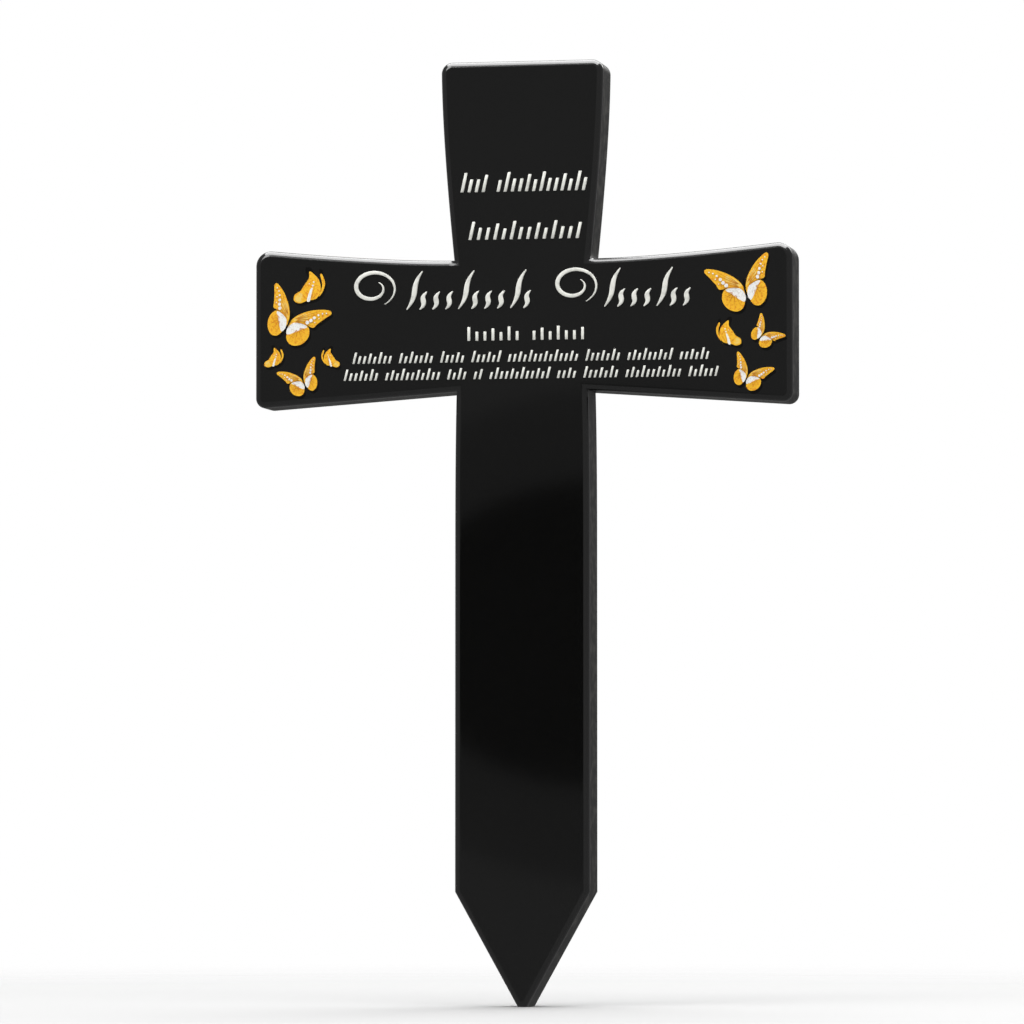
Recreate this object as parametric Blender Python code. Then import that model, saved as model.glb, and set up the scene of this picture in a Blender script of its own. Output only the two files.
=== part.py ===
"""A memorial cross stake: one thick polished plaque in the outline of a cross with flared arms and a long
pointed foot. It stands along +Z with its face towards -Y, and the origin is in the middle of the flat tip."""

import math

import bmesh
import bpy
from mathutils import Matrix, Vector

# Driving dimensions of the plaque, in metres
HEIGHT = 0.300
THICKNESS = 0.015
SPAN = 0.1735
HEAD_WIDTH = 0.0524
NECK_WIDTH = 0.0441
SHAFT_WIDTH = 0.0435
THROAT_WIDTH = 0.0426
TIP_WIDTH = 0.0030
SHOULDER_Z = 0.0363
THROAT_EASE_Z = 0.148
UNDERARM_Z = 0.1949
ARM_END_LOW_Z = 0.1903
ARM_END_HIGH_Z = 0.2413
ARM_TOP_Z = 0.2368
HEAD_CORNER_RADIUS = 0.0036
ARM_HIGH_CORNER_RADIUS = 0.0048
ARM_LOW_CORNER_RADIUS = 0.0031
CORNER_STEPS = 6
EASE_STEPS = 8
FRONT_BEVEL = 0.0018
FRONT_BEVEL_STEPS = 3
SMOOTH_ANGLE = math.radians(30)
WELD_DISTANCE = 1e-6
BROAD_FACING = 0.99

# Where the curved edges bend: a share of the way out along the arm, and a share of the whole height
ARM_BEND_SHARE = 0.34
HEAD_BEND_SHARE = 0.925

# Colour and roughness of the polished black
BLACK = (0.011, 0.011, 0.011, 1)
POLISH = 0.12

# The raised rows on the face: how far they stand out, and how far they run into the plaque
ROW_RELIEF = 0.0005
ROW_ROOT = 0.0010

# Plain rows: middle and width along X, foot and height along Z, bar width, slant, strokes in each group
PLAIN_ROWS = (
    {"x": 0.0004, "width": 0.0402, "foot": 0.2583, "height": 0.0062, "bar": 0.0010, "slant": 0.22,
     "groups": (4, 13)},
    {"x": 0.0007, "width": 0.0356, "foot": 0.2431, "height": 0.0058, "bar": 0.0010, "slant": 0.22,
     "groups": (14,)},
    {"x": 0.0014, "width": 0.0376, "foot": 0.2110, "height": 0.0044, "bar": 0.0009, "slant": 0.0,
     "groups": (7, 7)},
    {"x": 0.0025, "width": 0.1146, "foot": 0.2042, "height": 0.0036, "bar": 0.0007, "slant": 0.25,
     "groups": (8, 7, 5, 6, 14, 7, 9, 6)},
    {"x": 0.0025, "width": 0.1203, "foot": 0.1988, "height": 0.0036, "bar": 0.0007, "slant": 0.25,
     "groups": (7, 11, 4, 2, 12, 4, 7, 11, 6)},
)
GROUP_GAP = 1.1
STROKE_HEIGHTS = (1.0, 0.66, 0.66, 0.88, 0.6)

# A ribbon's width at its ends, as a share of its width in the middle
RIBBON_END_SHARE = 0.18

# The large row of curved strokes between the arms
SCRIPT_FOOT_Z = 0.2212
SCRIPT_BODY_HEIGHT = 0.0056
SCRIPT_TALL_HEIGHT = 0.0122
SCRIPT_BAR = 0.0016
SCRIPT_PITCH = 0.0042
SCRIPT_SLANT = 0.42
SCRIPT_SWAY = 0.00056
SCRIPT_STEPS = 8
SCRIPT_TALL_EVERY = 4

# Each group of that row: the middle of its opening curl, its first stroke, and how many strokes it has
SCRIPT_GROUPS = (
    {"curl": -0.0482, "first": -0.0371, "strokes": 10},
    {"curl": 0.0170, "first": 0.0268, "strokes": 7},
)
CURL_Z = 0.2283
CURL_WIDTH = 0.0156
CURL_BAR = 0.0013
CURL_HEIGHT = 0.0122
CURL_TURNS = 1.3
CURL_TIGHTENING = 0.62
CURL_START = -math.pi / 3
CURL_STEPS = 30


def object_in(collection, name, data):
    made = bpy.data.objects.new(name, data)
    collection.objects.link(made)
    return made


def quadratic(start, bend, end, steps):
    """Points from start to end, both left out, along a quadratic curve drawn towards bend."""
    found = []
    for i in range(1, steps):
        t = i / steps
        found.append(start * (1 - t) ** 2 + bend * 2 * t * (1 - t) + end * t**2)
    return found


def rounded(corner, before, after, radius):
    """Points along the arc of this radius that takes the place of a corner."""
    to_before = (before - corner).normalized()
    to_after = (after - corner).normalized()
    half_angle = to_before.angle(to_after) / 2
    centre = corner + (to_before + to_after).normalized() * radius / math.sin(half_angle)
    reach = radius / math.tan(half_angle)
    start = corner + to_before * reach - centre
    end = corner + to_after * reach - centre
    sweep = start.angle_signed(end)
    found = []
    for i in range(CORNER_STEPS + 1):
        turn = -sweep * i / CORNER_STEPS
        found.append(centre + Vector((start.x * math.cos(turn) - start.y * math.sin(turn),
                                      start.x * math.sin(turn) + start.y * math.cos(turn))))
    return found


def half_outline():
    """The +X half of the cross, from the tip up to the middle of the head, as points (x, z)."""
    tip = Vector((TIP_WIDTH / 2, 0))
    shoulder = Vector((SHAFT_WIDTH / 2, SHOULDER_Z))
    ease = Vector((SHAFT_WIDTH / 2, THROAT_EASE_Z))
    throat = Vector((THROAT_WIDTH / 2, UNDERARM_Z))
    throat_bend = Vector((SHAFT_WIDTH / 2, (THROAT_EASE_Z + 2 * UNDERARM_Z) / 3))
    arm_low = Vector((SPAN / 2, ARM_END_LOW_Z))
    arm_high = Vector((SPAN / 2, ARM_END_HIGH_Z))
    neck = Vector((NECK_WIDTH / 2, ARM_TOP_Z))
    arm_bend = neck.lerp(arm_high, ARM_BEND_SHARE)
    arm_bend.y = ARM_TOP_Z
    arm_curve = quadratic(arm_high, arm_bend, neck, EASE_STEPS)
    head = Vector((HEAD_WIDTH / 2, HEIGHT))
    head_bend = Vector((HEAD_WIDTH / 2, HEIGHT * HEAD_BEND_SHARE))
    head_curve = quadratic(neck, head_bend, head, EASE_STEPS)
    points = [tip, shoulder, ease]
    points += quadratic(ease, throat_bend, throat, EASE_STEPS // 2)
    points.append(throat)
    points += rounded(arm_low, throat, arm_high, ARM_LOW_CORNER_RADIUS)
    points += rounded(arm_high, arm_low, arm_curve[0], ARM_HIGH_CORNER_RADIUS)
    points += arm_curve[1:]
    points.append(neck)
    points += head_curve[:-1]
    points += rounded(head, head_curve[-2], Vector((0, HEIGHT)), HEAD_CORNER_RADIUS)
    return points


def whole_outline():
    half = half_outline()
    return half + [Vector((-point.x, point.y)) for point in reversed(half)]


def flat_mesh(name, outlines, depth):
    """A welded mesh of filled closed outlines, given as (x, z), with this depth along Y about zero."""
    curve = bpy.data.curves.new(name, "CURVE")
    curve.dimensions = "2D"
    curve.fill_mode = "BOTH"
    curve.extrude = depth / 2
    for outline in outlines:
        spline = curve.splines.new("POLY")
        spline.points.add(len(outline) - 1)
        for target, point in zip(spline.points, outline):
            target.co = (point.x, point.y, 0, 1)
        spline.use_cyclic_u = True
    guide = object_in(bpy.context.scene.collection, name + "_guide", curve)
    guide.rotation_euler.x = math.pi / 2
    bpy.context.view_layer.update()
    graph = bpy.context.evaluated_depsgraph_get()
    mesh = bpy.data.meshes.new_from_object(guide.evaluated_get(graph))
    mesh.transform(guide.matrix_world)
    bpy.data.objects.remove(guide)
    bpy.data.curves.remove(curve)
    shape = bmesh.new()
    shape.from_mesh(mesh)
    bmesh.ops.remove_doubles(shape, verts=shape.verts, dist=WELD_DISTANCE)
    bmesh.ops.recalc_face_normals(shape, faces=shape.faces)
    shape.to_mesh(mesh)
    shape.free()
    mesh.name = name
    return mesh


def round_front_edge(mesh):
    """Makes each broad face one polygon, then bevels the rim of the front one."""
    shape = bmesh.new()
    shape.from_mesh(mesh)
    shape.normal_update()
    inner = [edge for edge in shape.edges
             if all(abs(face.normal.y) > BROAD_FACING for face in edge.link_faces)]
    bmesh.ops.dissolve_edges(shape, edges=inner)
    rim = [edge for edge in shape.edges
           if all(vert.co.y < -THICKNESS / 2 + WELD_DISTANCE for vert in edge.verts)]
    bmesh.ops.bevel(shape, geom=rim, offset=FRONT_BEVEL, offset_type="OFFSET", segments=FRONT_BEVEL_STEPS,
                    profile=0.5, affect="EDGES", clamp_overlap=True)
    bmesh.ops.triangulate(shape, faces=shape.faces)
    shape.to_mesh(mesh)
    shape.free()


def bar_outline(x, foot, height, width, slant):
    """One slanted bar."""
    lean = height * slant
    return [Vector((x - width / 2, foot)), Vector((x + width / 2, foot)),
            Vector((x + width / 2 + lean, foot + height)), Vector((x - width / 2 + lean, foot + height))]


def plain_row(row):
    """The bars of one row: groups of strokes of several heights, spread over the row's width."""
    slots = sum(row["groups"]) - 1 + GROUP_GAP * (len(row["groups"]) - 1)
    pitch = (row["width"] - row["bar"]) / slots
    x = row["x"] - row["width"] / 2 + row["bar"] / 2
    found = []
    count = 0
    for group in row["groups"]:
        for _ in range(group):
            height = row["height"] * STROKE_HEIGHTS[count % len(STROKE_HEIGHTS)]
            found.append(bar_outline(x, row["foot"], height, row["bar"], row["slant"]))
            x += pitch
            count += 1
        x += pitch * GROUP_GAP
    return found


def ribbon(centre_line, width):
    """A closed outline along a centre line, widest in the middle and narrow at both ends."""
    left, right = [], []
    last = len(centre_line) - 1
    for i, point in enumerate(centre_line):
        along = (centre_line[min(i + 1, last)] - centre_line[max(i - 1, 0)]).normalized()
        fullness = RIBBON_END_SHARE + (1 - RIBBON_END_SHARE) * math.sin(math.pi * i / last)
        across = Vector((-along.y, along.x)) * width * fullness / 2
        left.append(point + across)
        right.append(point - across)
    return right + left[::-1]


def wave(x, height):
    """The centre line of one curved stroke that leans with the row and sways once each way."""
    found = []
    for i in range(SCRIPT_STEPS + 1):
        t = i / SCRIPT_STEPS
        sway = SCRIPT_SWAY * math.sin(2 * math.pi * t)
        found.append(Vector((x + height * SCRIPT_SLANT * t + sway, SCRIPT_FOOT_Z + height * t)))
    return found


def curl(middle):
    """The centre line of an opening curl, which winds inwards over its turns."""
    found = []
    for i in range(CURL_STEPS + 1):
        t = i / CURL_STEPS
        size = 1 - CURL_TIGHTENING * t
        turn = CURL_START + 2 * math.pi * CURL_TURNS * t
        found.append(Vector((middle + CURL_WIDTH / 2 * size * math.cos(turn),
                             CURL_Z + CURL_HEIGHT / 2 * size * math.sin(turn))))
    return found


def script_row():
    """The large row: each group has an opening curl and leaning curved strokes, of which each fourth is tall."""
    found = []
    for group in SCRIPT_GROUPS:
        found.append(ribbon(curl(group["curl"]), CURL_BAR))
        for i in range(group["strokes"]):
            tall = i % SCRIPT_TALL_EVERY == 0
            height = SCRIPT_TALL_HEIGHT if tall else SCRIPT_BODY_HEIGHT
            found.append(ribbon(wave(group["first"] + i * SCRIPT_PITCH, height), SCRIPT_BAR))
    return found


def polished_black():
    material = bpy.data.materials.new("polished_black")
    material.use_nodes = True
    shader = material.node_tree.nodes["Principled BSDF"]
    shader.inputs["Base Color"].default_value = BLACK
    shader.inputs["Roughness"].default_value = POLISH
    shader.inputs["Metallic"].default_value = 0
    return material


def make_rows(helpers):
    """All raised strokes in one helper, which the plaque is joined with."""
    outlines = script_row()
    for row in PLAIN_ROWS:
        outlines += plain_row(row)
    mesh = flat_mesh("raised_rows", outlines, ROW_RELIEF + ROW_ROOT)
    mesh.transform(Matrix.Translation((0, -THICKNESS / 2 + (ROW_ROOT - ROW_RELIEF) / 2, 0)))
    rows = object_in(helpers, "raised_rows", mesh)
    rows.hide_render = True
    rows.display_type = "WIRE"
    return rows


def make_cross(parts, rows):
    mesh = flat_mesh("cross_stake", [whole_outline()], THICKNESS)
    round_front_edge(mesh)
    mesh.materials.append(polished_black())
    cross = object_in(parts, "cross_stake", mesh)
    join = cross.modifiers.new("join_rows", "BOOLEAN")
    join.operation = "UNION"
    join.solver = "EXACT"
    join.object = rows
    mesh.shade_smooth()
    mesh.set_sharp_from_angle(angle=SMOOTH_ANGLE)
    return cross


def main():
    for existing in list(bpy.data.objects):
        bpy.data.objects.remove(existing)
    parts = bpy.data.collections.new("memorial_cross_stake")
    helpers = bpy.data.collections.new("helpers")
    for collection in (parts, helpers):
        bpy.context.scene.collection.children.link(collection)
    make_cross(parts, make_rows(helpers))


if __name__ == "__main__":
    main()
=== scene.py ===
"""Dresses a memorial cross stake: a polished black plaque with a rounded rim and stone-grey sides, raised
ivory rows of plain strokes, and a print of golden butterflies on the arms. Sizes are in metres, +Z up."""

import math

import bpy
from mathutils import Matrix, Vector


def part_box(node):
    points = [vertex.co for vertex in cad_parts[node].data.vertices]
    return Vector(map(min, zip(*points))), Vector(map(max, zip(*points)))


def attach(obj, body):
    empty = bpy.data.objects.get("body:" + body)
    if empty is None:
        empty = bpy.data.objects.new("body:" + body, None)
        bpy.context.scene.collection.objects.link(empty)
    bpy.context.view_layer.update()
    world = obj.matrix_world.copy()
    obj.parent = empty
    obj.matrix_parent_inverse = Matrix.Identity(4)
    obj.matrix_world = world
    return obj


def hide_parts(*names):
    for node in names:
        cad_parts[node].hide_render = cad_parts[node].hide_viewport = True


bl_info = {
    "name": "Memorial Cross Stake",
    "version": (1, 0, 0),
    "blender": (4, 5, 0),
    "location": "View3D > Sidebar > Memorial Cross",
    "description": "Builds a polished memorial cross stake with raised rows and a butterfly print",
    "category": "Add Mesh",
}

NODE = "cross_stake"

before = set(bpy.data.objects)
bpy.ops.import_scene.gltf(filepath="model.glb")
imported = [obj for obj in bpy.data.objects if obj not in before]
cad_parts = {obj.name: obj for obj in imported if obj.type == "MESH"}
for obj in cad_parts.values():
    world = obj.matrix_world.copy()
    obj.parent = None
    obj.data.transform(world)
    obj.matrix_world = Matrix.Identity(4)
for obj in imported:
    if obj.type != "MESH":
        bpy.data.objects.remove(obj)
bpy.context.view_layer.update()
CAD_LOW, CAD_HIGH = (Vector(corner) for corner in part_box(NODE))
FACE_Y = -CAD_HIGH.y
THICKNESS = 2 * CAD_HIGH.y

# Outline of the plaque, beyond its height and span, which come from the part's box in model.glb
HEAD_WIDTH = 0.0524
NECK_WIDTH = 0.0441
SHAFT_WIDTH = 0.0435
THROAT_WIDTH = 0.0426
TIP_WIDTH = 0.0030
SHOULDER_Z = 0.0363
THROAT_EASE_Z = 0.148
UNDERARM_Z = 0.1949
ARM_END_LOW_Z = 0.1903
ARM_END_HIGH_Z = 0.2413
ARM_TOP_Z = 0.2368
HEAD_CORNER_RADIUS = 0.0036
ARM_HIGH_CORNER_RADIUS = 0.0048
ARM_LOW_CORNER_RADIUS = 0.0031
CORNER_STEPS = 14
EASE_STEPS = 28

# Where the curved edges bend: a share of the way out along the arm, and a share of the whole height
ARM_BEND_SHARE = 0.34
HEAD_BEND_SHARE = 0.925

# Mesh work: the ring left between the bevel and the face's fall, bevel steps, and what counts as the same
LEAST_RING = 0.0001
RIM_STEPS = 5
BACK_STEPS = 2
FACE_WEIGHT = 80
WELD_DISTANCE = 1e-6
FLAT_ANGLE = math.radians(0.1)
FRONT_FACING = 0.9
BROAD_FACING = 0.5
FACE_TOLERANCE = 1e-5

# Plain rows: middle and width along X, foot and height along Z, bar width, slant, strokes in each group
PLAIN_ROWS = (
    {"name": "upper_row", "x": 0.0004, "width": 0.0402, "foot": 0.2583, "height": 0.0062, "bar": 0.0010,
     "slant": 0.22, "groups": (4, 13)},
    {"name": "second_row", "x": 0.0007, "width": 0.0356, "foot": 0.2431, "height": 0.0058, "bar": 0.0010,
     "slant": 0.22, "groups": (14,)},
    {"name": "middle_row", "x": 0.0014, "width": 0.0376, "foot": 0.2110, "height": 0.0044, "bar": 0.0009,
     "slant": 0.0, "groups": (7, 7)},
    {"name": "first_small_row", "x": 0.0025, "width": 0.1146, "foot": 0.2042, "height": 0.0036,
     "bar": 0.0007, "slant": 0.25, "groups": (8, 7, 5, 6, 14, 7, 9, 6)},
    {"name": "second_small_row", "x": 0.0025, "width": 0.1203, "foot": 0.1988, "height": 0.0036,
     "bar": 0.0007, "slant": 0.25, "groups": (7, 11, 4, 2, 12, 4, 7, 11, 6)},
)
GROUP_GAP = 1.1
STROKE_HEIGHTS = (1.0, 0.66, 0.66, 0.88, 0.6)

# How far the strokes run into the face, their soft edges, and a ribbon's width at its ends
ROW_ROOT = 0.0003
PLAIN_RELIEF_SHARE = 0.8
STROKE_EDGE_SHARE = 0.16
PLAIN_EDGE_STEPS = 2
SCRIPT_EDGE_STEPS = 3
STROKE_BEVEL_ANGLE = math.radians(50)
STROKE_SMOOTH_ANGLE = math.radians(40)
RIBBON_END_SHARE = 0.18

# The large row of curved strokes between the arms
SCRIPT_FOOT_Z = 0.2212
SCRIPT_BODY_HEIGHT = 0.0056
SCRIPT_TALL_HEIGHT = 0.0122
SCRIPT_BAR = 0.0016
SCRIPT_PITCH = 0.0042
SCRIPT_SLANT = 0.42
SCRIPT_SWAY = 0.00056
SCRIPT_STEPS = 24
SCRIPT_TALL_EVERY = 4
SCRIPT_GROUPS = (
    {"curl": -0.0482, "first": -0.0371, "strokes": 10},
    {"curl": 0.0170, "first": 0.0268, "strokes": 7},
)
CURL_Z = 0.2283
CURL_WIDTH = 0.0156
CURL_BAR = 0.0013
CURL_HEIGHT = 0.0122
CURL_TURNS = 1.3
CURL_TIGHTENING = 0.62
CURL_START = -math.pi / 3
CURL_STEPS = 90

# Butterflies of the print: kind, middle along X and Z, width of one wing, tilt in degrees, mirrored or not
BUTTERFLIES = (
    {"kind": "open", "x": -0.0752, "z": 0.2186, "wing": 0.0099, "tilt": -22, "mirror": False},
    {"kind": "resting", "x": -0.0694, "z": 0.2245, "wing": 0.0080, "tilt": 0, "mirror": False},
    {"kind": "resting", "x": -0.0808, "z": 0.2039, "wing": 0.0049, "tilt": 0, "mirror": False},
    {"kind": "resting", "x": -0.0617, "z": 0.2036, "wing": 0.0047, "tilt": 0, "mirror": True},
    {"kind": "open", "x": -0.0710, "z": 0.1994, "wing": 0.0064, "tilt": 16, "mirror": True},
    {"kind": "open", "x": 0.0716, "z": 0.2269, "wing": 0.0100, "tilt": 9, "mirror": True},
    {"kind": "resting", "x": 0.0669, "z": 0.2088, "wing": 0.0063, "tilt": 0, "mirror": True},
    {"kind": "open", "x": 0.0776, "z": 0.2119, "wing": 0.0051, "tilt": -37, "mirror": False},
    {"kind": "open", "x": 0.0727, "z": 0.1991, "wing": 0.0062, "tilt": -19, "mirror": False},
)

# The print: how far its layers and its painted shadows stand above each other, and where the painted
# shadows fall beside the wings
LAYER_STEP = 0.000015
PAINTED_SHADOW_STEP = 0.00000075
PRINT_DEPTH = 0.00004
PRINT_ROUGHNESS = (0.25, 0.35)
PAINTED_SHADOW_SHIFT = Vector((0.0005, -0.0009))

# Wings in units of one wing's width, for the right side: each curve goes through these points
FOREWING = ((0.02, 0.00), (0.14, 0.34), (0.46, 0.72), (0.84, 0.98), (0.98, 0.94), (0.90, 0.70),
            (0.80, 0.42), (0.74, 0.22), (0.44, 0.16), (0.16, 0.02))
HINDWING = ((0.02, 0.02), (0.34, 0.16), (0.64, 0.14), (0.80, -0.10), (0.76, -0.40), (0.54, -0.62),
            (0.28, -0.60), (0.10, -0.34))
HIND_BAND = ((0.14, 0.00), (0.40, 0.13), (0.58, 0.13), (0.46, -0.04), (0.30, -0.30), (0.16, -0.44),
             (0.06, -0.26))
FORE_BASE = ((0.05, 0.04), (0.18, 0.34), (0.40, 0.56), (0.46, 0.40), (0.34, 0.20))
FOREWING_DOTS = ((0.50, 0.26, 0.062), (0.56, 0.38, 0.058), (0.60, 0.51, 0.050), (0.66, 0.66, 0.034),
                 (0.74, 0.78, 0.026), (0.84, 0.86, 0.022), (0.74, 0.58, 0.020), (0.70, 0.40, 0.018))
FOREWING_VEINS = ((0.40, 0.62), (0.62, 0.80), (0.84, 0.90), (0.86, 0.68), (0.78, 0.44), (0.70, 0.25))
HINDWING_VEINS = ((0.62, 0.08), (0.74, -0.08), (0.72, -0.34), (0.54, -0.54), (0.32, -0.54))
RESTING_WING = ((-0.02, 0.02), (0.34, 0.10), (0.52, 0.42), (0.46, 0.82), (0.22, 1.10), (0.06, 1.18),
                (0.04, 0.92), (-0.14, 0.66), (-0.30, 0.42), (-0.54, 0.26), (-0.56, 0.02), (-0.32, -0.08))
RESTING_LOBE = ((-0.26, 0.34), (-0.48, 0.24), (-0.51, 0.04), (-0.32, -0.04), (-0.20, 0.12))
RESTING_TIP = ((0.02, 0.98), (0.24, 1.02), (0.14, 1.30), (-0.06, 1.36), (-0.10, 1.20))
RESTING_FAR_WING = ((0.44, 0.16), (0.62, 0.40), (0.70, 0.72), (0.58, 1.06), (0.50, 1.04), (0.58, 0.70),
                    (0.54, 0.44))
RESTING_FAR_TIP = ((0.50, 1.02), (0.62, 1.02), (0.60, 1.22), (0.46, 1.26))
RESTING_BAND = ((-0.04, 0.00), (0.02, 0.26), (0.12, 0.50), (0.20, 0.52), (0.14, 0.26), (0.08, 0.00))
RESTING_DOTS = ((0.20, 0.62, 0.040), (0.24, 0.76, 0.034), (0.06, 0.70, 0.020))
WING_CURVE_STEPS = 7
DOT_SIDES = 14
VEIN_WIDTH = 0.012
VEIN_START_SHARE = 0.18
FORE_VEIN_ROOT = (0.04, 0.02)
HIND_VEIN_ROOT = (0.36, -0.06)
RESTING_VEINS = (((0.34, 0.76), (0.10, 0.02)), ((0.44, 0.46), (0.14, 0.0)), ((-0.34, 0.36), FORE_VEIN_ROOT))
BODY_FOOT = -0.26
BODY_LENGTH = 0.5
BODY_WIDTH = 0.07
BODY_STEPS = 8

# How an open butterfly's wings stand: each side's turn and its width, and their shift from the body
WING_TURNS = {1: math.radians(-14), -1: math.radians(4)}
WING_WIDTHS = {1: 1.0, -1: 0.84}
WING_SHIFT = 0.02


class CrossSizes(bpy.types.PropertyGroup):
    """Sizes of the memorial cross that a user would change."""

    height: bpy.props.FloatProperty(
        name="Height", description="From the flat tip to the top of the head",
        default=CAD_HIGH.z - CAD_LOW.z, unit="LENGTH")
    span: bpy.props.FloatProperty(
        name="Span", description="Across both arms", default=CAD_HIGH.x - CAD_LOW.x, unit="LENGTH")
    rim_bevel: bpy.props.FloatProperty(
        name="Rim bevel", description="Width of the bright rounded band round the face",
        default=0.0018, unit="LENGTH")
    rim_roll: bpy.props.FloatProperty(
        name="Rim roll", description="How much further in than the band the face starts to fall",
        default=0.0005, unit="LENGTH")
    rim_fall: bpy.props.FloatProperty(
        name="Rim fall", description="How far the face falls at its edge", default=0.00016, unit="LENGTH")
    back_bevel: bpy.props.FloatProperty(
        name="Back bevel", description="Width of the bevel round the back", default=0.0005, unit="LENGTH")
    row_relief: bpy.props.FloatProperty(
        name="Row relief", description="How far the rows stand out of the face",
        default=FACE_Y - CAD_LOW.y, unit="LENGTH")


class CrossColours(bpy.types.PropertyGroup):
    """Colours of the memorial cross that a user would change."""

    face: bpy.props.FloatVectorProperty(
        name="Face", description="Polished black of the face", subtype="COLOR",
        default=(0.0030, 0.0030, 0.0029))
    side_dark: bpy.props.FloatVectorProperty(
        name="Side, dark", description="Darker patches of the sides", subtype="COLOR",
        default=(0.0025, 0.0025, 0.0023))
    side_light: bpy.props.FloatVectorProperty(
        name="Side, light", description="Lighter patches of the sides", subtype="COLOR",
        default=(0.046, 0.044, 0.040))
    rows: bpy.props.FloatVectorProperty(
        name="Rows", description="Ivory of the raised strokes", subtype="COLOR",
        default=(0.72, 0.72, 0.67))
    gold: bpy.props.FloatVectorProperty(
        name="Wing gold", description="Main colour of the wings", subtype="COLOR",
        default=(0.84, 0.46, 0.022))
    orange: bpy.props.FloatVectorProperty(
        name="Wing orange", description="Deeper flecks and veins", subtype="COLOR",
        default=(0.70, 0.25, 0.010))
    pale: bpy.props.FloatVectorProperty(
        name="Wing pale", description="Pale patches near the body", subtype="COLOR",
        default=(0.79, 0.56, 0.14))
    floor: bpy.props.FloatVectorProperty(
        name="Floor", description="Pale floor", subtype="COLOR", default=(0.31, 0.31, 0.31))


def deselect():
    bpy.ops.object.select_all(action="DESELECT")


def activate(piece):
    deselect()
    piece.select_set(True)
    bpy.context.view_layer.objects.active = piece


def quadratic(start, bend, end, steps):
    """Points from start to end, both left out, along a quadratic curve drawn towards bend."""
    found = []
    for i in range(1, steps):
        t = i / steps
        found.append(start * (1 - t) ** 2 + bend * 2 * t * (1 - t) + end * t**2)
    return found


def rounded(corner, before, after, radius):
    """Points along the arc of this radius that takes the place of a corner."""
    to_before = (before - corner).normalized()
    to_after = (after - corner).normalized()
    half_angle = to_before.angle(to_after) / 2
    centre = corner + (to_before + to_after).normalized() * radius / math.sin(half_angle)
    reach = radius / math.tan(half_angle)
    start = corner + to_before * reach - centre
    end = corner + to_after * reach - centre
    sweep = start.angle_signed(end)
    found = []
    for i in range(CORNER_STEPS + 1):
        turn = -sweep * i / CORNER_STEPS
        found.append(centre + Vector((start.x * math.cos(turn) - start.y * math.sin(turn),
                                      start.x * math.sin(turn) + start.y * math.cos(turn))))
    return found


def cross_outline(sizes):
    """The whole outline of the cross as points (x, z), from the tip round the +X side and back."""
    shoulder = Vector((SHAFT_WIDTH / 2, SHOULDER_Z))
    ease = Vector((SHAFT_WIDTH / 2, THROAT_EASE_Z))
    throat = Vector((THROAT_WIDTH / 2, UNDERARM_Z))
    throat_bend = Vector((SHAFT_WIDTH / 2, (THROAT_EASE_Z + 2 * UNDERARM_Z) / 3))
    arm_low = Vector((sizes.span / 2, ARM_END_LOW_Z))
    arm_high = Vector((sizes.span / 2, ARM_END_HIGH_Z))
    neck = Vector((NECK_WIDTH / 2, ARM_TOP_Z))
    arm_bend = neck.lerp(arm_high, ARM_BEND_SHARE)
    arm_bend.y = ARM_TOP_Z
    arm_curve = quadratic(arm_high, arm_bend, neck, EASE_STEPS)
    first_clear = next(i for i, point in enumerate(arm_curve)
                       if arm_high.x - point.x > ARM_HIGH_CORNER_RADIUS)
    head = Vector((HEAD_WIDTH / 2, sizes.height))
    head_curve = quadratic(neck, Vector((head.x, sizes.height * HEAD_BEND_SHARE)), head, EASE_STEPS)
    clear_below = [point for point in head_curve if head.y - point.y > HEAD_CORNER_RADIUS]
    half = [Vector((TIP_WIDTH / 2, 0)), shoulder, ease]
    half += quadratic(ease, throat_bend, throat, EASE_STEPS // 2)
    half.append(throat)
    half += rounded(arm_low, throat, arm_high, ARM_LOW_CORNER_RADIUS)
    half += rounded(arm_high, arm_low, arm_curve[first_clear], ARM_HIGH_CORNER_RADIUS)
    half += arm_curve[first_clear + 1:]
    half.append(neck)
    half += clear_below
    half += rounded(head, clear_below[-1], Vector((0, sizes.height)), HEAD_CORNER_RADIUS)
    return half + [Vector((-point.x, point.y)) for point in reversed(half)]


def filled(name, outlines, front_y, depth):
    """A mesh piece of filled outlines, whose front is at front_y and which is depth thick."""
    curve = bpy.data.curves.new(name, "CURVE")
    curve.dimensions = "2D"
    curve.fill_mode = "BOTH"
    curve.extrude = depth / 2
    for outline in outlines:
        spline = curve.splines.new("POLY")
        spline.points.add(len(outline) - 1)
        for target, point in zip(spline.points, outline):
            target.co = (point.x, point.y, 0, 1)
        spline.use_cyclic_u = True
    piece = bpy.data.objects.new(name, curve)
    bpy.context.scene.collection.objects.link(piece)
    activate(piece)
    bpy.ops.object.convert(target="MESH")
    piece = bpy.context.view_layer.objects.active
    piece.name = name
    upright = Matrix.Rotation(math.pi / 2, 4, "X")
    piece.data.transform(Matrix.Translation((0, front_y + depth / 2, 0)) @ upright)
    bpy.ops.object.mode_set(mode="EDIT")
    bpy.ops.mesh.select_all(action="SELECT")
    bpy.ops.mesh.remove_doubles(threshold=WELD_DISTANCE)
    bpy.ops.mesh.normals_make_consistent(inside=False)
    bpy.ops.mesh.dissolve_limited(angle_limit=FLAT_ANGLE)
    bpy.ops.object.mode_set(mode="OBJECT")
    return piece


def select_faces(piece, wanted):
    """Selects the faces for which wanted(face) is true, in face mode."""
    bpy.ops.object.mode_set(mode="EDIT")
    bpy.ops.mesh.select_mode(type="FACE")
    bpy.ops.mesh.select_all(action="DESELECT")
    bpy.ops.object.mode_set(mode="OBJECT")
    for face in piece.data.polygons:
        face.select = wanted(face)
    bpy.ops.object.mode_set(mode="EDIT")


def apply_modifiers(piece):
    activate(piece)
    for modifier in list(piece.modifiers):
        bpy.ops.object.modifier_apply(modifier=modifier.name)


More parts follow.
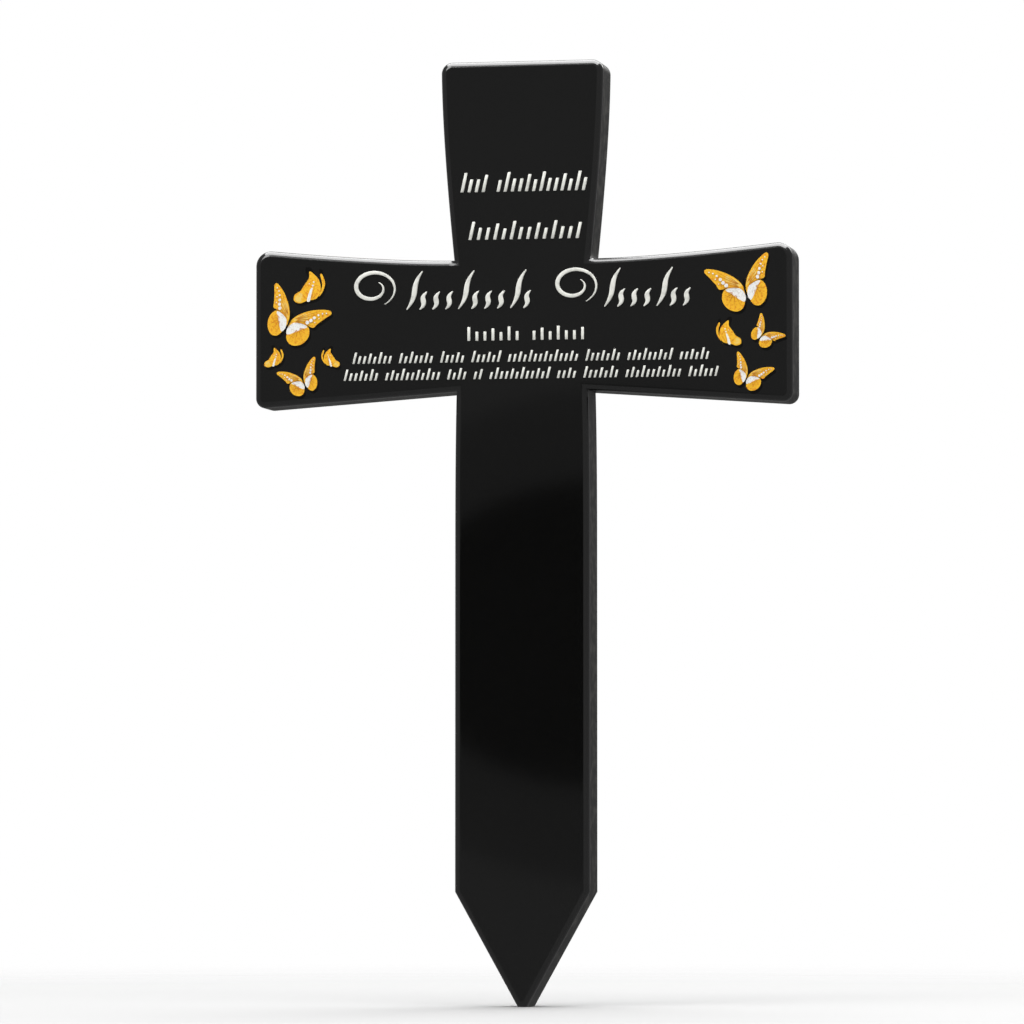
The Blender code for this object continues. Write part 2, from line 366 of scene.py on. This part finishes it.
def node(tree, kind, place, **values):
    made = tree.nodes.new(kind)
    made.location = place
    for name, value in values.items():
        setattr(made, name, value)
    return made


def speckle_group():
    """Fine grain and larger patches from Object coordinates: a mask of each, and a bumped normal."""
    group = bpy.data.node_groups.get("Speckle")
    if group:
        return group
    group = bpy.data.node_groups.new("Speckle", "ShaderNodeTree")
    for name, default in (("Patch Scale", 60.0), ("Grain Scale", 900.0), ("Bump", 0.1)):
        socket = group.interface.new_socket(name=name, in_out="INPUT", socket_type="NodeSocketFloat")
        socket.default_value = default
    outputs = {"Patches": "NodeSocketFloat", "Grain": "NodeSocketFloat", "Normal": "NodeSocketVector"}
    for name, kind in outputs.items():
        group.interface.new_socket(name=name, in_out="OUTPUT", socket_type=kind)
    entry = node(group, "NodeGroupInput", (-800, 0))
    leave = node(group, "NodeGroupOutput", (500, 0))
    place = node(group, "ShaderNodeTexCoord", (-800, 250))
    patches = node(group, "ShaderNodeTexNoise", (-500, 250))
    patches.inputs["Detail"].default_value = 5
    patches.inputs["Roughness"].default_value = 0.62
    grain = node(group, "ShaderNodeTexNoise", (-500, -50))
    grain.inputs["Detail"].default_value = 2
    bump = node(group, "ShaderNodeBump", (150, -150))
    bump.inputs["Distance"].default_value = 0.0001
    for texture, scale in ((patches, "Patch Scale"), (grain, "Grain Scale")):
        group.links.new(place.outputs["Object"], texture.inputs["Vector"])
        group.links.new(entry.outputs[scale], texture.inputs["Scale"])
    group.links.new(entry.outputs["Bump"], bump.inputs["Strength"])
    group.links.new(grain.outputs["Fac"], bump.inputs["Height"])
    group.links.new(patches.outputs["Fac"], leave.inputs["Patches"])
    group.links.new(grain.outputs["Fac"], leave.inputs["Grain"])
    group.links.new(bump.outputs["Normal"], leave.inputs["Normal"])
    return group


def shade(colour, factor):
    return tuple(channel * factor for channel in colour)


def plain(name, colour, roughness, patch_scale, grain_scale, bump, **values):
    """A material of one colour with a fine grain, whose gloss varies between two roughnesses."""
    material = bpy.data.materials.new(name)
    material.use_nodes = True
    tree = material.node_tree
    shader = tree.nodes["Principled BSDF"]
    shader.inputs["Base Color"].default_value = (*colour, 1)
    speckle = node(tree, "ShaderNodeGroup", (-700, 100), node_tree=speckle_group(), name="Speckle")
    speckle.inputs["Patch Scale"].default_value = patch_scale
    speckle.inputs["Grain Scale"].default_value = grain_scale
    speckle.inputs["Bump"].default_value = bump
    gloss = node(tree, "ShaderNodeMapRange", (-450, -150))
    gloss.inputs["To Min"].default_value = roughness[0]
    gloss.inputs["To Max"].default_value = roughness[1]
    tree.links.new(speckle.outputs["Patches"], gloss.inputs["Value"])
    tree.links.new(gloss.outputs["Result"], shader.inputs["Roughness"])
    tree.links.new(speckle.outputs["Normal"], shader.inputs["Normal"])
    for socket, value in values.items():
        shader.inputs[socket.replace("_", " ")].default_value = value
    return material


def mottled(name, dark, light, span, mask="Patches", **values):
    """A material like a plain one that goes from dark to light over this span of the mask."""
    material = plain(name, light, **values)
    tree = material.node_tree
    ramp = node(tree, "ShaderNodeValToRGB", (-450, 150))
    ramp.color_ramp.elements[0].position = span[0]
    ramp.color_ramp.elements[0].color = (*dark, 1)
    ramp.color_ramp.elements[1].position = span[1]
    ramp.color_ramp.elements[1].color = (*light, 1)
    tree.links.new(tree.nodes["Speckle"].outputs[mask], ramp.inputs["Fac"])
    tree.links.new(ramp.outputs["Color"], tree.nodes["Principled BSDF"].inputs["Base Color"])
    return material


def face_material(colours):
    return mottled("polished_face", tuple(colours.face), shade(colours.face, 1.35), span=(0.35, 0.7),
                   roughness=(0.05, 0.09), patch_scale=9, grain_scale=700, bump=0.02, IOR=1.49)


def rim_material(colours):
    return plain("polished_rim", tuple(colours.face), roughness=(0.14, 0.20), patch_scale=40,
                 grain_scale=900, bump=0.05, IOR=1.7)


def side_material(colours):
    return mottled("mottled_side", tuple(colours.side_dark), tuple(colours.side_light), span=(0.46, 0.62),
                   roughness=(0.34, 0.52), patch_scale=330, grain_scale=2200, bump=0.35, IOR=1.45,
                   Specular_IOR_Level=0.15)


def row_material(colours):
    return mottled("ivory_rows", shade(colours.rows, 0.72), tuple(colours.rows), span=(0.30, 0.52),
                   roughness=(0.28, 0.42), patch_scale=420, grain_scale=1800, bump=0.2)


def wing_material(colours):
    return mottled("wing_gold", tuple(colours.orange), tuple(colours.gold), span=(0.36, 0.47),
                   roughness=PRINT_ROUGHNESS, patch_scale=300, grain_scale=1900, bump=0.05, mask="Grain")


def pale_wing_material(colours):
    return mottled("wing_pale", tuple(colours.gold), tuple(colours.pale), span=(0.38, 0.56),
                   roughness=PRINT_ROUGHNESS, patch_scale=300, grain_scale=1500, bump=0.05, mask="Grain")


def vein_material(colours):
    return mottled("wing_veins", shade(colours.orange, 0.62), tuple(colours.orange), span=(0.35, 0.65),
                   roughness=PRINT_ROUGHNESS, patch_scale=300, grain_scale=1500, bump=0.05)


def white_material():
    return mottled("wing_white", (0.62, 0.60, 0.54), (0.80, 0.80, 0.78), span=(0.34, 0.46),
                   roughness=PRINT_ROUGHNESS, patch_scale=300, grain_scale=2600, bump=0.05, mask="Grain")


# The print's black, for the bodies and wing tips, and also for the painted shadows under the wings
def ink_and_painted_shadow_material(colours):
    return mottled("print_black_and_painted_shadow", shade(colours.face, 0.4), tuple(colours.face), span=(0.3, 0.7),
                   roughness=(0.30, 0.40), patch_scale=300, grain_scale=1500, bump=0.05,
                   Specular_IOR_Level=0.15)


class CROSS_OT_plaque(bpy.types.Operator):
    """Add the polished plaque with its rounded rim"""

    bl_idname = "memorial_cross.plaque"
    bl_label = "Plaque"

    def execute(self, context):
        sizes = context.scene.cross_sizes
        colours = context.scene.cross_colours
        plaque = filled("cross_plaque", [cross_outline(sizes)], FACE_Y, THICKNESS)
        for material in (face_material(colours), rim_material(colours), side_material(colours)):
            plaque.data.materials.append(material)
        for face in plaque.data.polygons:
            face.material_index = 0 if face.normal.y < -FRONT_FACING else 2
        self.roll_face(plaque, sizes)
        self.bevel_rim(plaque, -1, sizes.rim_bevel, RIM_STEPS, 1)
        self.bevel_rim(plaque, 1, sizes.back_bevel, BACK_STEPS, 2)
        weighted = plaque.modifiers.new("even_shading", "WEIGHTED_NORMAL")
        weighted.weight = FACE_WEIGHT
        activate(plaque)
        bpy.ops.object.shade_smooth()
        apply_modifiers(plaque)
        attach(plaque, "root")
        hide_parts(NODE)
        return {"FINISHED"}

    def roll_face(self, plaque, sizes):
        """Insets the face, then lets its edge fall a little, so that reflections bend near the rim."""
        activate(plaque)
        select_faces(plaque, lambda face: face.normal.y < -FRONT_FACING)
        bpy.ops.mesh.inset(thickness=sizes.rim_bevel + LEAST_RING)
        bpy.ops.mesh.inset(thickness=sizes.rim_roll)
        bpy.ops.object.mode_set(mode="OBJECT")
        rim = set()
        for face in plaque.data.polygons:
            if abs(face.normal.y) < BROAD_FACING:
                rim.update(face.vertices)
        for vert in plaque.data.vertices:
            if vert.index in rim and abs(vert.co.y - FACE_Y) < FACE_TOLERANCE:
                vert.co.y += sizes.rim_fall

    def bevel_rim(self, plaque, side, width, steps, material_index):
        """Bevels the edges between the side walls and the face on this side, -1 front or 1 back."""
        activate(plaque)
        bpy.ops.object.mode_set(mode="EDIT")
        bpy.ops.mesh.select_mode(type="EDGE")
        bpy.ops.mesh.select_all(action="DESELECT")
        bpy.ops.object.mode_set(mode="OBJECT")
        mesh = plaque.data
        walls = {key for face in mesh.polygons if abs(face.normal.y) < BROAD_FACING
                 for key in face.edge_keys}
        broad = {key for face in mesh.polygons if face.normal.y * side > BROAD_FACING
                 for key in face.edge_keys}
        for edge in mesh.edges:
            edge.select = edge.key in walls and edge.key in broad
        bpy.ops.object.mode_set(mode="EDIT")
        bpy.ops.mesh.bevel(offset=width, segments=steps, profile=0.5, affect="EDGES",
                           material=material_index)
        bpy.ops.object.mode_set(mode="OBJECT")


def bar_outline(x, foot, height, width, slant):
    """One slanted bar."""
    lean = height * slant
    return [Vector((x - width / 2, foot)), Vector((x + width / 2, foot)),
            Vector((x + width / 2 + lean, foot + height)), Vector((x - width / 2 + lean, foot + height))]


def plain_row(row):
    """The bars of one row: groups of strokes of several heights, spread over the row's width."""
    slots = sum(row["groups"]) - 1 + GROUP_GAP * (len(row["groups"]) - 1)
    pitch = (row["width"] - row["bar"]) / slots
    x = row["x"] - row["width"] / 2 + row["bar"] / 2
    found = []
    count = 0
    for group in row["groups"]:
        for _ in range(group):
            height = row["height"] * STROKE_HEIGHTS[count % len(STROKE_HEIGHTS)]
            found.append(bar_outline(x, row["foot"], height, row["bar"], row["slant"]))
            x += pitch
            count += 1
        x += pitch * GROUP_GAP
    return found


def ribbon(centre_line, width):
    """A closed outline along a centre line, widest in the middle and narrow at both ends."""
    left, right = [], []
    last = len(centre_line) - 1
    for i, point in enumerate(centre_line):
        along = (centre_line[min(i + 1, last)] - centre_line[max(i - 1, 0)]).normalized()
        fullness = RIBBON_END_SHARE + (1 - RIBBON_END_SHARE) * math.sin(math.pi * i / last)
        across = Vector((-along.y, along.x)) * width * fullness / 2
        left.append(point + across)
        right.append(point - across)
    return right + left[::-1]


def wave(x, height):
    """The centre line of one curved stroke that leans with the row and sways once each way."""
    found = []
    for i in range(SCRIPT_STEPS + 1):
        t = i / SCRIPT_STEPS
        sway = SCRIPT_SWAY * math.sin(2 * math.pi * t)
        found.append(Vector((x + height * SCRIPT_SLANT * t + sway, SCRIPT_FOOT_Z + height * t)))
    return found


def curl(middle):
    """The centre line of an opening curl, which winds inwards over its turns."""
    found = []
    for i in range(CURL_STEPS + 1):
        t = i / CURL_STEPS
        size = 1 - CURL_TIGHTENING * t
        turn = CURL_START + 2 * math.pi * CURL_TURNS * t
        found.append(Vector((middle + CURL_WIDTH / 2 * size * math.cos(turn),
                             CURL_Z + CURL_HEIGHT / 2 * size * math.sin(turn))))
    return found


def script_outlines():
    """The large row: each group has an opening curl and leaning curved strokes, each fourth one tall."""
    found = []
    for group in SCRIPT_GROUPS:
        found.append(ribbon(curl(group["curl"]), CURL_BAR))
        for i in range(group["strokes"]):
            height = SCRIPT_TALL_HEIGHT if i % SCRIPT_TALL_EVERY == 0 else SCRIPT_BODY_HEIGHT
            found.append(ribbon(wave(group["first"] + i * SCRIPT_PITCH, height), SCRIPT_BAR))
    return found


def raised_piece(name, outlines, relief, edge, steps, material):
    """Strokes that stand out of the face, with a bevel of this width round their edges."""
    piece = filled(name, outlines, FACE_Y - relief, relief + ROW_ROOT)
    bevel = piece.modifiers.new("soft_edge", "BEVEL")
    bevel.width = edge
    bevel.segments = steps
    bevel.limit_method = "ANGLE"
    bevel.angle_limit = STROKE_BEVEL_ANGLE
    apply_modifiers(piece)
    bpy.ops.object.shade_smooth_by_angle(angle=STROKE_SMOOTH_ANGLE)
    piece.data.materials.append(material)
    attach(piece, "root")


class CROSS_OT_rows(bpy.types.Operator):
    """Add the raised rows of plain strokes and the large curved row"""

    bl_idname = "memorial_cross.rows"
    bl_label = "Raised rows"

    def execute(self, context):
        relief = context.scene.cross_sizes.row_relief
        material = row_material(context.scene.cross_colours)
        for row in PLAIN_ROWS:
            raised_piece(row["name"], plain_row(row), relief * PLAIN_RELIEF_SHARE,
                         row["bar"] * STROKE_EDGE_SHARE, PLAIN_EDGE_STEPS, material)
        raised_piece("large_row", script_outlines(), relief, SCRIPT_BAR * STROKE_EDGE_SHARE,
                     SCRIPT_EDGE_STEPS, material)
        return {"FINISHED"}


def smooth_loop(points):
    """A closed smooth curve through the points, as a list of points."""
    found = []
    count = len(points)
    for i in range(count):
        before, start, end, after = (Vector(points[(i + k) % count]) for k in (-1, 0, 1, 2))
        for step in range(WING_CURVE_STEPS):
            t = step / WING_CURVE_STEPS
            squared = (2 * before - 5 * start + 4 * end - after) * t**2
            cubed = (3 * start - before - 3 * end + after) * t**3
            found.append(0.5 * (2 * start + (end - before) * t + squared + cubed))
    return found


def dot(x, z, radius):
    turns = [2 * math.pi * i / DOT_SIDES for i in range(DOT_SIDES)]
    return [Vector((x + radius * math.cos(turn), z + radius * math.sin(turn))) for turn in turns]


def vein(end, start):
    """A thin spike that starts near the root of the wing and ends at a point on it."""
    root, tip = Vector(start), Vector(end)
    side = Vector((-(tip - root).y, (tip - root).x)).normalized() * VEIN_WIDTH
    foot = root.lerp(tip, VEIN_START_SHARE)
    return [foot + side, foot - side, tip]


def open_layers():
    """Layers of an open butterfly from the back of the print to its front: material name and outlines."""
    shapes = [("wing", [smooth_loop(HINDWING)]), ("white", [smooth_loop(HIND_BAND)]),
              ("wing", [smooth_loop(FOREWING)]), ("pale", [smooth_loop(FORE_BASE)])]
    shapes += [("vein", [vein(end, FORE_VEIN_ROOT)]) for end in FOREWING_VEINS]
    shapes += [("vein", [vein(end, HIND_VEIN_ROOT)]) for end in HINDWING_VEINS]
    shapes.append(("white", [dot(*place) for place in FOREWING_DOTS]))
    both = []
    for name, outlines in shapes:
        turned = [[Vector((-point.x, point.y)) for point in outline] for outline in outlines]
        both.append((name, [lean_wing(outline, 1) for outline in outlines]
                     + [lean_wing(outline, -1) for outline in turned]))
    spine = [Vector((0, BODY_FOOT + BODY_LENGTH * i / BODY_STEPS)) for i in range(BODY_STEPS + 1)]
    both.append(("ink", [ribbon(spine, BODY_WIDTH)]))
    return both


def lean_wing(outline, side):
    """Opens the near wing wide and lifts the far one, as on a butterfly seen a little from the side."""
    turn = WING_TURNS[side]
    moved = []
    for point in outline:
        x = point.x * WING_WIDTHS[side] + side * WING_SHIFT
        moved.append(Vector((x * math.cos(turn) - point.y * math.sin(turn),
                             x * math.sin(turn) + point.y * math.cos(turn))))
    return moved


def resting_layers():
    """Layers of a resting butterfly with closed wings, from the back of the print to its front."""
    return [
        ("ink", [smooth_loop(RESTING_FAR_TIP)]),
        ("wing", [smooth_loop(RESTING_FAR_WING)]),
        ("ink", [smooth_loop(RESTING_TIP)]),
        ("wing", [smooth_loop(RESTING_WING)]),
        ("pale", [smooth_loop(RESTING_LOBE)]),
        ("vein", [vein(end, start) for end, start in RESTING_VEINS]),
        ("white", [smooth_loop(RESTING_BAND)]),
        ("white", [dot(*place) for place in RESTING_DOTS]),
    ]


def placed(outline, butterfly):
    """The outline at the butterfly's place, size, tilt and side."""
    turn = math.radians(butterfly["tilt"])
    side = -1 if butterfly["mirror"] else 1
    found = []
    for point in outline:
        x, z = point.x * side * butterfly["wing"], point.y * butterfly["wing"]
        found.append(Vector((butterfly["x"] + x * math.cos(turn) - z * math.sin(turn),
                             butterfly["z"] + x * math.sin(turn) + z * math.cos(turn))))
    return found


class CROSS_OT_butterflies(bpy.types.Operator):
    """Add the flat print of golden butterflies on both arms, with painted shadows under their wings"""

    bl_idname = "memorial_cross.butterflies"
    bl_label = "Butterfly print"

    def execute(self, context):
        colours = context.scene.cross_colours
        materials = {"wing": wing_material(colours), "pale": pale_wing_material(colours),
                     "vein": vein_material(colours), "white": white_material(),
                     "ink": ink_and_painted_shadow_material(colours)}
        for number, butterfly in enumerate(BUTTERFLIES, 1):
            layers = open_layers() if butterfly["kind"] == "open" else resting_layers()
            # Painted shadows first: dark copies of the wings under each butterfly, in the print's black
            pieces = self.painted_shadows(butterfly, layers, materials["ink"])
            for level, (name, group) in enumerate(layers, 1):
                outlines = [placed(outline, butterfly) for outline in group]
                pieces.append(self.printed(outlines, LAYER_STEP * level, materials[name]))
            deselect()
            for piece in pieces:
                piece.select_set(True)
            context.view_layer.objects.active = pieces[0]
            bpy.ops.object.join()
            joined = context.view_layer.objects.active
            joined.name = f"butterfly_{number}"
            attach(joined, "root")
        return {"FINISHED"}

    def printed(self, outlines, rise, material):
        """One layer of the print, which stands this much above the lowest one."""
        layer = filled("layer", outlines, FACE_Y - PRINT_DEPTH / 2 - rise, PRINT_DEPTH)
        layer.data.materials.append(material)
        return layer

    def painted_shadows(self, butterfly, layers, material):
        """Painted shadows: dark copies of the wings, shifted down and to the side below all other layers,
        standing for the shadows the wings cast.
        """
        wings = [outline for name, group in layers if name == "wing" for outline in group]
        found = []
        for wing in wings:
            shifted = [point + PAINTED_SHADOW_SHIFT for point in placed(wing, butterfly)]
            found.append(self.printed([shifted], PAINTED_SHADOW_STEP * len(found), material))
        return found


def area_light(name, place, target, width, depth, power):
    data = bpy.data.lights.new(name, "AREA")
    data.shape = "RECTANGLE"
    data.size = width
    data.size_y = depth
    data.energy = power
    light = bpy.data.objects.new(name, data)
    light.location = place
    light.rotation_euler = (Vector(target) - Vector(place)).to_track_quat("-Z", "Y").to_euler()
    bpy.context.scene.collection.objects.link(light)


class CROSS_OT_stage(bpy.types.Operator):
    """Add the pale floor, the soft lights and the camera"""

    bl_idname = "memorial_cross.stage"
    bl_label = "Stage"

    STAGE_SIDES = 96
    FLOOR_RADIUS = 1.2
    FLOOR_ROUGHNESS = 0.6
    FADE_START = 0.16
    FADE_END = 0.62
    CAMERA_DISTANCE = 2.0
    CAMERA_TURN = 11.0
    CAMERA_HEIGHT = 0.058
    AIM = (-0.0045, 0.0, 0.1375)
    VIEW_HEIGHT = 0.3254
    SENSOR_MM = 36.0
    SHIFT_Y = 0.0595
    CLIP_START = 0.01
    SURROUND = (0.25, 0.25, 0.25, 1)

    # Soft lights: name, place, the point they face, width, depth and power in watts
    LIGHTS = (
        ("overhead_softbox", (0.0, 0.0, 1.35), (0, 0, 0.15), 1.6, 1.8, 72),
        ("front_softbox", (-0.9, -1.5, 1.35), (0, 0, 0.17), 0.8, 0.8, 11),
        ("back_softbox", (0.6, 1.6, 1.2), (0, 0, 0.15), 0.9, 0.9, 10),
    )

    # Cards that the face reflects: name, half width, half height, distance in front, glow
    CARD_X = -0.064
    CARD_Z = 0.133
    CARDS = (("dark_card", 0.083, 0.061, 0.500, 0.0), ("dim_card", 0.116, 0.098, 0.510, 0.15))

    def execute(self, context):
        self.floor(context)
        self.world(context)
        for light in self.LIGHTS:
            area_light(*light)
        self.reflected_shapes(context)
        self.camera(context)
        context.scene.view_settings.view_transform = "Standard"
        return {"FINISHED"}

    def floor(self, context):
        """A round floor that fades out, so that no horizon shows."""
        deselect()
        bpy.ops.mesh.primitive_circle_add(vertices=self.STAGE_SIDES, radius=self.FLOOR_RADIUS,
                                          fill_type="NGON")
        floor = context.view_layer.objects.active
        floor.name = "floor"
        bpy.ops.object.mode_set(mode="EDIT")
        bpy.ops.mesh.inset(thickness=self.FLOOR_RADIUS / 2)
        bpy.ops.object.mode_set(mode="OBJECT")
        colour = tuple(context.scene.cross_colours.floor)
        material = bpy.data.materials.new("pale_floor")
        material.use_nodes = True
        tree = material.node_tree
        shader = tree.nodes["Principled BSDF"]
        shader.inputs["Base Color"].default_value = (*colour, 1)
        shader.inputs["Roughness"].default_value = self.FLOOR_ROUGHNESS
        place = node(tree, "ShaderNodeTexCoord", (-700, 0))
        length = node(tree, "ShaderNodeVectorMath", (-500, 0), operation="LENGTH")
        fade = node(tree, "ShaderNodeMapRange", (-300, 0), interpolation_type="SMOOTHSTEP")
        fade.inputs["From Min"].default_value = self.FADE_START
        fade.inputs["From Max"].default_value = self.FADE_END
        fade.inputs["To Min"].default_value = 1
        fade.inputs["To Max"].default_value = 0
        tree.links.new(place.outputs["Object"], length.inputs[0])
        tree.links.new(length.outputs["Value"], fade.inputs["Value"])
        tree.links.new(fade.outputs["Result"], shader.inputs["Alpha"])
        floor.data.materials.append(material)
        floor.visible_glossy = False

    def world(self, context):
        """White behind the object, and a dim even surround for its light and reflections."""
        world = bpy.data.worlds.new("soft_surround")
        world.use_nodes = True
        tree = world.node_tree
        surround = tree.nodes["Background"]
        surround.inputs["Color"].default_value = self.SURROUND
        backdrop = node(tree, "ShaderNodeBackground", (0, -150))
        backdrop.inputs["Color"].default_value = (1, 1, 1, 1)
        path = node(tree, "ShaderNodeLightPath", (0, 300))
        mix = node(tree, "ShaderNodeMixShader", (250, 0))
        tree.links.new(path.outputs["Is Camera Ray"], mix.inputs["Fac"])
        tree.links.new(surround.outputs["Background"], mix.inputs[1])
        tree.links.new(backdrop.outputs["Background"], mix.inputs[2])
        tree.links.new(mix.outputs["Shader"], tree.nodes["World Output"].inputs["Surface"])
        context.scene.world = world

    def reflected_shapes(self, context):
        """Dim oval cards in front of the object that show only as soft shapes in its polished face."""
        for name, half_width, half_height, depth, glow in self.CARDS:
            deselect()
            bpy.ops.mesh.primitive_circle_add(vertices=self.STAGE_SIDES, radius=1, fill_type="NGON",
                                              location=(self.CARD_X, -depth, self.CARD_Z),
                                              rotation=(math.pi / 2, 0, 0))
            card = context.view_layer.objects.active
            card.name = name
            card.scale = (half_width, half_height, 1)
            bpy.ops.object.transform_apply(location=True, rotation=True, scale=True)
            material = bpy.data.materials.new(name)
            material.use_nodes = True
            shader = material.node_tree.nodes["Principled BSDF"]
            shader.inputs["Base Color"].default_value = (0, 0, 0, 1)
            shader.inputs["Roughness"].default_value = 1
            shader.inputs["Specular IOR Level"].default_value = 0
            shader.inputs["Emission Color"].default_value = (1, 1, 1, 1)
            shader.inputs["Emission Strength"].default_value = glow
            card.data.materials.append(material)
            card.visible_camera = False
            card.visible_diffuse = False
            card.visible_shadow = False

    def camera(self, context):
        """Looks from the right and from low down. Its lens gives VIEW_HEIGHT of the object's plane."""
        data = bpy.data.cameras.new("camera")
        camera = bpy.data.objects.new("camera", data)
        turn = math.radians(self.CAMERA_TURN)
        camera.location = (self.CAMERA_DISTANCE * math.sin(turn), -self.CAMERA_DISTANCE * math.cos(turn),
                           self.CAMERA_HEIGHT)
        aim = Vector(self.AIM)
        camera.rotation_euler = (aim - camera.location).to_track_quat("-Z", "Y").to_euler()
        data.sensor_width = self.SENSOR_MM
        data.lens = self.SENSOR_MM * (aim - camera.location).length / self.VIEW_HEIGHT
        data.shift_y = self.SHIFT_Y
        data.clip_start = self.CLIP_START
        context.scene.collection.objects.link(camera)
        context.scene.camera = camera


class CROSS_PT_panel(bpy.types.Panel):
    """Sidebar panel that lists the pieces of the memorial cross"""

    bl_label = "Memorial Cross"
    bl_idname = "CROSS_PT_panel"
    bl_space_type = "VIEW_3D"
    bl_region_type = "UI"
    bl_category = "Memorial Cross"

    def draw(self, context):
        for name in ("cross_sizes", "cross_colours"):
            settings = getattr(context.scene, name)
            for prop in settings.bl_rna.properties:
                if prop.identifier not in ("rna_type", "name"):
                    self.layout.prop(settings, prop.identifier)
        for operator in OPERATORS:
            self.layout.operator(operator.bl_idname)


OPERATORS = (CROSS_OT_plaque, CROSS_OT_rows, CROSS_OT_butterflies, CROSS_OT_stage)
CLASSES = (CrossSizes, CrossColours, *OPERATORS, CROSS_PT_panel)


def register():
    for cls in CLASSES:
        bpy.utils.register_class(cls)
    bpy.types.Scene.cross_sizes = bpy.props.PointerProperty(type=CrossSizes)
    bpy.types.Scene.cross_colours = bpy.props.PointerProperty(type=CrossColours)


def unregister():
    del bpy.types.Scene.cross_colours
    del bpy.types.Scene.cross_sizes
    for cls in reversed(CLASSES):
        bpy.utils.unregister_class(cls)


def main():
    register()
    bpy.ops.memorial_cross.plaque()
    bpy.ops.memorial_cross.rows()
    bpy.ops.memorial_cross.butterflies()
    bpy.ops.memorial_cross.stage()


if __name__ == "__main__":
    main()
